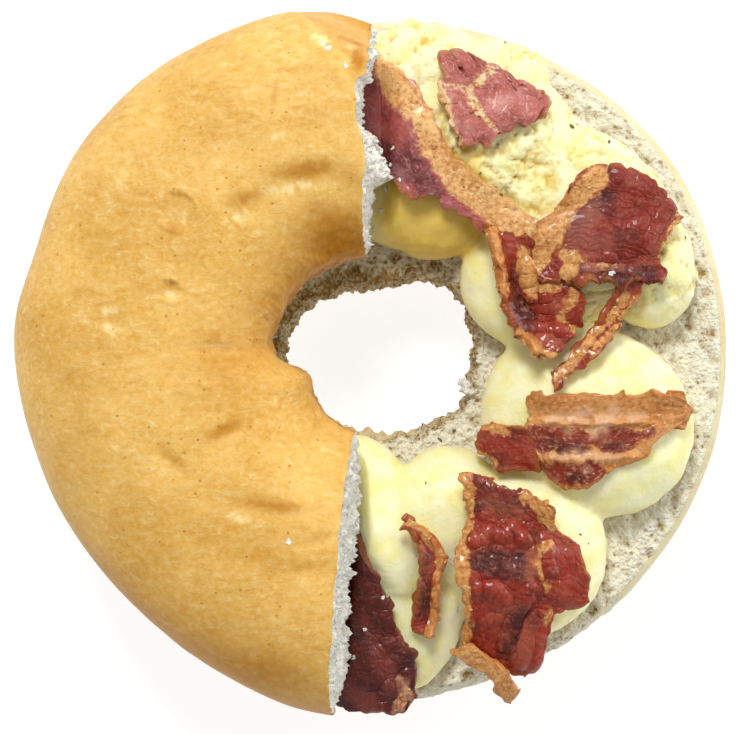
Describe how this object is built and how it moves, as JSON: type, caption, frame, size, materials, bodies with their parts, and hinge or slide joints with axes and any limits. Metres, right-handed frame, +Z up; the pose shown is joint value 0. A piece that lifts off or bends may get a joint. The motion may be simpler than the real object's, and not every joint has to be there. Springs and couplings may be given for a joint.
{
  "type": "savory filled doughnut",
  "caption": "Ring of soft bread cut level, spread with lobes of whipped egg filling and fried streaky bacon, and half covered by its torn golden lid.",
  "frame": {"origin": "on the table, under the middle of the bounding box", "axes": "+Z up from the table through the hole, +X towards the open side where filling and bacon show, -X towards the lid, +Y away from the viewer"},
  "size_m": [0.1126, 0.1102, 0.046],
  "materials": {
    "bread_crumb": "pale porous cut crumb with a thin golden crust round it",
    "bread_crust": "soft golden crust with a faint sheen, and torn white crumb at its two ends",
    "egg_filling": "moist pale yellow, smooth where it was spread and rough where it was pulled",
    "bacon": "greasy fried lean in dark red with tan fat and rind"
  },
  "bodies": {
    "root": {"bread_base": "bread_crumb", "bread_lid": "bread_crust", "filling": "egg_filling", "bacon_long_rasher": "bacon", "bacon_top_slice": "bacon", "bacon_folded_flap": "bacon", "bacon_curled_end": "bacon", "bacon_sliver": "bacon", "bacon_middle_rasher": "bacon", "bacon_scrap": "bacon", "bacon_lower_rasher": "bacon", "bacon_rind_spike": "bacon", "bacon_small_curl": "bacon", "bacon_under_lid": "bacon"}
  },
  "joints": []
}
